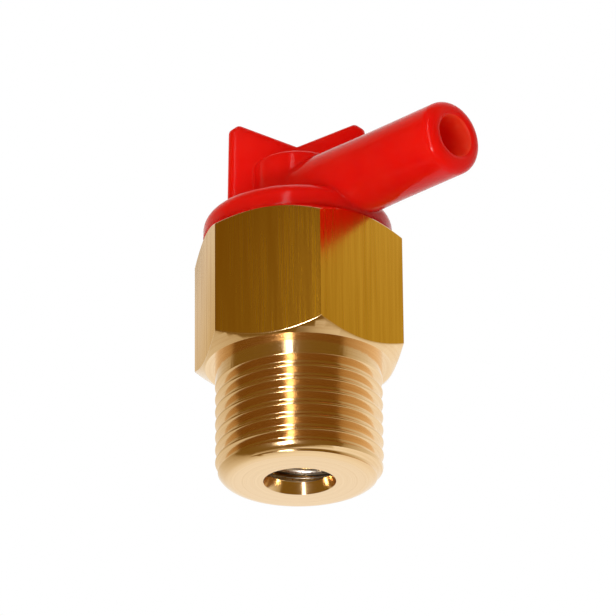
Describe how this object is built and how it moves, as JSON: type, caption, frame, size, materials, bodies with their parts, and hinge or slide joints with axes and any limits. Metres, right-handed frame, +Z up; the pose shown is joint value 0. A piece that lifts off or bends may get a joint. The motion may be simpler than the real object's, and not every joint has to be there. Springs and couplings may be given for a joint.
{
  "type": "thermal relief valve",
  "caption": "Thermal relief valve: a threaded brass hexagon body with a sprung wax element inside, under a swivelling moulded cap with a drain spout and a notched thumb wing.",
  "frame": {"origin": "where the valve's axis meets the inlet end face, on which the valve stands", "axes": "+Z up the valve's axis from the inlet to the cap, +X along the drain spout at rest"},
  "size_m": [0.0323, 0.022, 0.0386],
  "materials": {
    "body_brass": "turned from drawn hexagon bar, bright with fine streaks",
    "cap_plastic": "glossy red moulding, slightly translucent",
    "spring_steel": "bright drawn wire",
    "stamped_steel": "bright stamped or ground steel",
    "element_brass": "bright turned or drawn brass",
    "black_rubber": "matt black rubber",
    "wax": "waxy, dull",
    "white_plastic": "matt white slippery plastic"
  },
  "bodies": {
    "housing": {"valve_body": "body_brass", "return_spring": "spring_steel", "seat_insert": "element_brass", "seat_o_ring": "black_rubber", "stop_bridge": "stamped_steel", "retaining_ring": "stamped_steel", "piston": "stamped_steel", "anti_chafe_disc": "white_plastic"},
    "wax_element": {"element_cup": "element_brass", "wax_charge": "wax", "element_diaphragm": "black_rubber", "element_plug": "black_rubber", "element_guide": "element_brass", "valve_seal": "black_rubber"},
    "cap": {"outlet_cap": "cap_plastic", "cap_o_ring": "black_rubber"}
  },
  "joints": [
    {"name": "element_slide", "type": "slide", "parent": "housing", "child": "wax_element", "axis": [0, 0, -1], "range_m": [0, 0.0025], "stiffness_N_per_m": 2000, "deforming": ["return_spring"]},
    {"name": "cap_swivel", "type": "hinge", "parent": "housing", "child": "cap", "pos_m": [0, 0, 0.0258], "axis": [0, 0, 1], "continuous": true}
  ]
}
